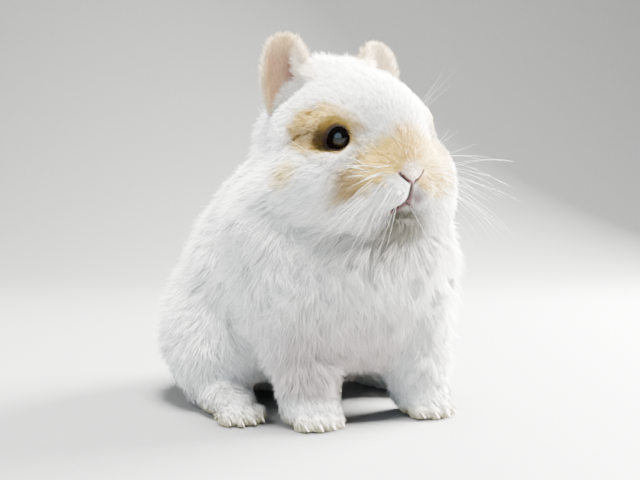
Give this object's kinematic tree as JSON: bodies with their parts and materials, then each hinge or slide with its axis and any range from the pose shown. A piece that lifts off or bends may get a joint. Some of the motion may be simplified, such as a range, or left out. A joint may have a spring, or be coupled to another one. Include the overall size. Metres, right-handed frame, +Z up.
{
  "type": "netherland dwarf rabbit",
  "caption": "Life-size still model of a young dwarf rabbit sitting upright on its forelegs, white with pale fawn points, head turned a little to its left.",
  "frame": {"origin": "on the floor, under the middle of the whole model's box", "axes": "+Z up, the chest faces -Y, the rabbit's own left is +X"},
  "size_m": [0.1172, 0.137, 0.1442],
  "materials": {
    "coat": "soft white fur",
    "ear": "short cream fur, pinkish inside",
    "eye": "wet gloss"
  },
  "bodies": {
    "root": {"torso": "coat", "neck": "coat", "head": "coat", "tail": "coat", "ear_left": "ear", "ear_right": "ear", "eye_left": "eye", "eye_right": "eye", "foreleg_left": "coat", "foreleg_right": "coat", "forepaw_left": "coat", "forepaw_right": "coat", "hind_foot_left": "coat", "hind_foot_right": "coat", "thigh_left": "coat", "thigh_right": "coat"}
  },
  "joints": []
}
